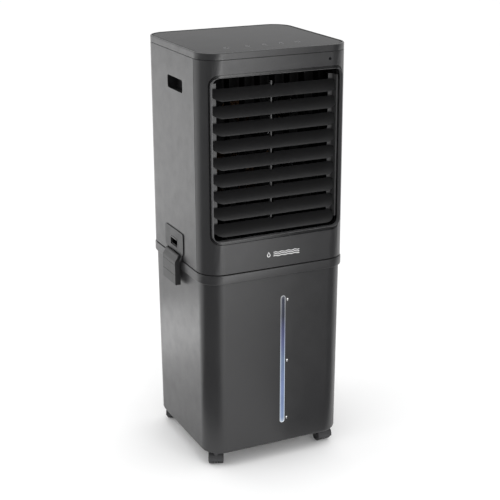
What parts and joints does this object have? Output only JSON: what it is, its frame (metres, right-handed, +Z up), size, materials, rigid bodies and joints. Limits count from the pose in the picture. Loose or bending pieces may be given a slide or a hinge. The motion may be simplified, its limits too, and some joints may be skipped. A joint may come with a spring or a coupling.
{
  "type": "evaporative cooler",
  "caption": "Tall tower evaporative cooler: upper unit with louvred outlet, fan and wet pad, latched onto a water tank on twin-wheel castors",
  "frame": {"origin": "on the floor, below the middle of the cooler's bounding box", "axes": "+Z up, the air outlet faces -Y, +X is the right-hand side seen from the front"},
  "size_m": [0.48, 0.424, 1.2],
  "materials": {
    "anthracite_abs": "fine-grained dark grey moulded ABS, satin",
    "black_abs": "black moulded ABS, satin",
    "gloss_panel": "polished black, touch icons printed from behind",
    "clear_window": "clear blue-tinted moulding, polished",
    "cellulose_pad": "brown corrugated cellulose paper, matt",
    "filter_mesh": "woven black nylon mesh, matt",
    "steel": "bright zinc-plated steel",
    "castor_nylon": "black nylon, satin",
    "pvc_hose": "clear flexible PVC hose",
    "circuit_board": "green solder mask"
  },
  "bodies": {
    "root": {"chassis_floor": "black_abs", "control_board": "circuit_board", "control_glass": "gloss_panel", "cooling_pad": "cellulose_pad", "cord_gland": "black_abs", "distribution_tray": "black_abs", "drain_plug": "black_abs", "dust_filter": "filter_mesh", "fan_motor": "steel", "fan_shroud": "black_abs", "front_bezel": "anthracite_abs", "grip_cup_left": "black_abs", "grip_cup_right": "black_abs", "housing_shell": "anthracite_abs", "ir_receiver": "gloss_panel", "level_light": "circuit_board", "level_window": "clear_window", "louvre_rail_left": "black_abs", "louvre_rail_right": "black_abs", "motor_bracket": "steel", "outlet_frame": "black_abs", "pad_frame": "black_abs", "pump": "black_abs", "rear_grille": "black_abs", "riser_hose": "pvc_hose", "tank": "anthracite_abs", "tank_cover": "anthracite_abs", "top_cap": "anthracite_abs"},
    "slat_1": {"slat_1": "black_abs"},
    "slat_2": {"slat_2": "black_abs"},
    "slat_3": {"slat_3": "black_abs"},
    "slat_4": {"slat_4": "black_abs"},
    "slat_5": {"slat_5": "black_abs"},
    "slat_6": {"slat_6": "black_abs"},
    "slat_7": {"slat_7": "black_abs"},
    "slat_8": {"slat_8": "black_abs"},
    "slat_9": {"slat_9": "black_abs"},
    "slat_link": {"slat_link": "black_abs"},
    "vane_1": {"vane_1": "black_abs"},
    "vane_2": {"vane_2": "black_abs"},
    "vane_3": {"vane_3": "black_abs"},
    "vane_4": {"vane_4": "black_abs"},
    "vane_5": {"vane_5": "black_abs"},
    "vane_6": {"vane_6": "black_abs"},
    "vane_7": {"vane_7": "black_abs"},
    "vane_8": {"vane_8": "black_abs"},
    "vane_link": {"vane_link": "black_abs"},
    "fan_wheel": {"fan_wheel": "black_abs"},
    "latch_lever_left": {"latch_lever_left": "anthracite_abs"},
    "latch_strap_left": {"latch_strap_left": "anthracite_abs"},
    "latch_lever_right": {"latch_lever_right": "anthracite_abs"},
    "latch_strap_right": {"latch_strap_right": "anthracite_abs"},
    "castor_hood_fl": {"castor_hood_fl": "castor_nylon"},
    "castor_wheels_fl": {"castor_wheels_fl": "castor_nylon"},
    "castor_hood_fr": {"castor_hood_fr": "castor_nylon"},
    "castor_wheels_fr": {"castor_wheels_fr": "castor_nylon"},
    "castor_hood_rl": {"castor_hood_rl": "castor_nylon"},
    "castor_wheels_rl": {"castor_wheels_rl": "castor_nylon"},
    "castor_hood_rr": {"castor_hood_rr": "castor_nylon"},
    "castor_wheels_rr": {"castor_wheels_rr": "castor_nylon"}
  },
  "joints": [
    {"name": "slat_1_pivot", "type": "hinge", "parent": "root", "child": "slat_1", "pos_m": [0, -0.17, 1.095], "axis": [1, 0, 0], "range_deg": [-60, 22]},
    {"name": "slat_2_pivot", "type": "hinge", "parent": "root", "child": "slat_2", "pos_m": [0, -0.17, 1.0485], "axis": [1, 0, 0], "range_deg": [-60, 22]},
    {"name": "slat_3_pivot", "type": "hinge", "parent": "root", "child": "slat_3", "pos_m": [0, -0.17, 1.002], "axis": [1, 0, 0], "range_deg": [-60, 22]},
    {"name": "slat_4_pivot", "type": "hinge", "parent": "root", "child": "slat_4", "pos_m": [0, -0.17, 0.9555], "axis": [1, 0, 0], "range_deg": [-60, 22]},
    {"name": "slat_5_pivot", "type": "hinge", "parent": "root", "child": "slat_5", "pos_m": [0, -0.17, 0.909], "axis": [1, 0, 0], "range_deg": [-60, 22]},
    {"name": "slat_6_pivot", "type": "hinge", "parent": "root", "child": "slat_6", "pos_m": [0, -0.17, 0.8625], "axis": [1, 0, 0], "range_deg": [-60, 22]},
    {"name": "slat_7_pivot", "type": "hinge", "parent": "root", "child": "slat_7", "pos_m": [0, -0.17, 0.816], "axis": [1, 0, 0], "range_deg": [-60, 22]},
    {"name": "slat_8_pivot", "type": "hinge", "parent": "root", "child": "slat_8", "pos_m": [0, -0.17, 0.7695], "axis": [1, 0, 0], "range_deg": [-60, 22]},
    {"name": "slat_9_pivot", "type": "hinge", "parent": "root", "child": "slat_9", "pos_m": [0, -0.17, 0.723], "axis": [1, 0, 0], "range_deg": [-60, 22]},
    {"name": "slat_link_pin", "type": "hinge", "parent": "slat_1", "child": "slat_link", "pos_m": [0.001, -0.15935, 1.10246], "axis": [1, 0, 0], "range_deg": [-22, 60]},
    {"name": "vane_1_pivot", "type": "hinge", "parent": "root", "child": "vane_1", "pos_m": [-0.1575, -0.135, 0.702], "axis": [0, 0, 1], "range_deg": [-40, 40]},
    {"name": "vane_2_pivot", "type": "hinge", "parent": "root", "child": "vane_2", "pos_m": [-0.1125, -0.135, 0.702], "axis": [0, 0, 1], "range_deg": [-40, 40]},
    {"name": "vane_3_pivot", "type": "hinge", "parent": "root", "child": "vane_3", "pos_m": [-0.0675, -0.135, 0.702], "axis": [0, 0, 1], "range_deg": [-40, 40]},
    {"name": "vane_4_pivot", "type": "hinge", "parent": "root", "child": "vane_4", "pos_m": [-0.0225, -0.135, 0.702], "axis": [0, 0, 1], "range_deg": [-40, 40]},
    {"name": "vane_5_pivot", "type": "hinge", "parent": "root", "child": "vane_5", "pos_m": [0.0225, -0.135, 0.702], "axis": [0, 0, 1], "range_deg": [-40, 40]},
    {"name": "vane_6_pivot", "type": "hinge", "parent": "root", "child": "vane_6", "pos_m": [0.0675, -0.135, 0.702], "axis": [0, 0, 1], "range_deg": [-40, 40]},
    {"name": "vane_7_pivot", "type": "hinge", "parent": "root", "child": "vane_7", "pos_m": [0.1125, -0.135, 0.702], "axis": [0, 0, 1], "range_deg": [-40, 40]},
    {"name": "vane_8_pivot", "type": "hinge", "parent": "root", "child": "vane_8", "pos_m": [0.1575, -0.135, 0.702], "axis": [0, 0, 1], "range_deg": [-40, 40]},
    {"name": "vane_link_pin", "type": "hinge", "parent": "vane_1", "child": "vane_link", "pos_m": [-0.1575, -0.121, 0.702], "axis": [0, 0, 1], "range_deg": [-40, 40]},
    {"name": "fan_shaft", "type": "hinge", "parent": "root", "child": "fan_wheel", "pos_m": [0, -0.064, 0.91], "axis": [0, 1, 0], "continuous": true},
    {"name": "latch_lever_left_pivot", "type": "hinge", "parent": "root", "child": "latch_lever_left", "pos_m": [-0.2262, 0.0085, 0.603], "axis": [0, 1, 0], "range_deg": [0, 90]},
    {"name": "latch_strap_left_pin", "type": "hinge", "parent": "latch_lever_left", "child": "latch_strap_left", "pos_m": [-0.2262, 0.0085, 0.594], "axis": [0, 1, 0], "range_deg": [-108, 0]},
    {"name": "latch_lever_right_pivot", "type": "hinge", "parent": "root", "child": "latch_lever_right", "pos_m": [0.2262, 0.0085, 0.603], "axis": [0, -1, 0], "range_deg": [0, 90]},
    {"name": "latch_strap_right_pin", "type": "hinge", "parent": "latch_lever_right", "child": "latch_strap_right", "pos_m": [0.2262, 0.0085, 0.594], "axis": [0, -1, 0], "range_deg": [-108, 0]},
    {"name": "castor_fl_swivel", "type": "hinge", "parent": "root", "child": "castor_hood_fl", "pos_m": [-0.176, -0.164, 0.048], "axis": [0, 0, 1], "continuous": true},
    {"name": "castor_fl_axle", "type": "hinge", "parent": "castor_hood_fl", "child": "castor_wheels_fl", "pos_m": [-0.17193, -0.15487, 0.0195], "axis": [0.9135, -0.4067, 0], "continuous": true},
    {"name": "castor_fr_swivel", "type": "hinge", "parent": "root", "child": "castor_hood_fr", "pos_m": [0.176, -0.164, 0.048], "axis": [0, 0, 1], "continuous": true},
    {"name": "castor_fr_axle", "type": "hinge", "parent": "castor_hood_fr", "child": "castor_wheels_fr", "pos_m": [0.17548, -0.15401, 0.0195], "axis": [0.9986, 0.0523, 0], "continuous": true},
    {"name": "castor_rl_swivel", "type": "hinge", "parent": "root", "child": "castor_hood_rl", "pos_m": [-0.176, 0.164, 0.048], "axis": [0, 0, 1], "continuous": true},
    {"name": "castor_rl_axle", "type": "hinge", "parent": "castor_hood_rl", "child": "castor_wheels_rl", "pos_m": [-0.17026, 0.17219, 0.0195], "axis": [0.8192, -0.5736, 0], "continuous": true},
    {"name": "castor_rr_swivel", "type": "hinge", "parent": "root", "child": "castor_hood_rr", "pos_m": [0.176, 0.164, 0.048], "axis": [0, 0, 1], "continuous": true},
    {"name": "castor_rr_axle", "type": "hinge", "parent": "castor_hood_rr", "child": "castor_wheels_rr", "pos_m": [0.17358, 0.1737, 0.0195], "axis": [0.9703, 0.2419, 0], "continuous": true}
  ],
  "couplings": [
    {"joint": "slat_2_pivot", "follows": "slat_1_pivot", "ratio": 1},
    {"joint": "slat_3_pivot", "follows": "slat_1_pivot", "ratio": 1},
    {"joint": "slat_4_pivot", "follows": "slat_1_pivot", "ratio": 1},
    {"joint": "slat_5_pivot", "follows": "slat_1_pivot", "ratio": 1},
    {"joint": "slat_6_pivot", "follows": "slat_1_pivot", "ratio": 1},
    {"joint": "slat_7_pivot", "follows": "slat_1_pivot", "ratio": 1},
    {"joint": "slat_8_pivot", "follows": "slat_1_pivot", "ratio": 1},
    {"joint": "slat_9_pivot", "follows": "slat_1_pivot", "ratio": 1},
    {"joint": "slat_link_pin", "follows": "slat_1_pivot", "ratio": -1},
    {"joint": "vane_2_pivot", "follows": "vane_1_pivot", "ratio": 1},
    {"joint": "vane_3_pivot", "follows": "vane_1_pivot", "ratio": 1},
    {"joint": "vane_4_pivot", "follows": "vane_1_pivot", "ratio": 1},
    {"joint": "vane_5_pivot", "follows": "vane_1_pivot", "ratio": 1},
    {"joint": "vane_6_pivot", "follows": "vane_1_pivot", "ratio": 1},
    {"joint": "vane_7_pivot", "follows": "vane_1_pivot", "ratio": 1},
    {"joint": "vane_8_pivot", "follows": "vane_1_pivot", "ratio": 1},
    {"joint": "vane_link_pin", "follows": "vane_1_pivot", "ratio": -1},
    {"joint": "latch_strap_left_pin", "follows": "latch_lever_left_pivot", "ratio": -1.2},
    {"joint": "latch_strap_right_pin", "follows": "latch_lever_right_pivot", "ratio": -1.2}
  ]
}
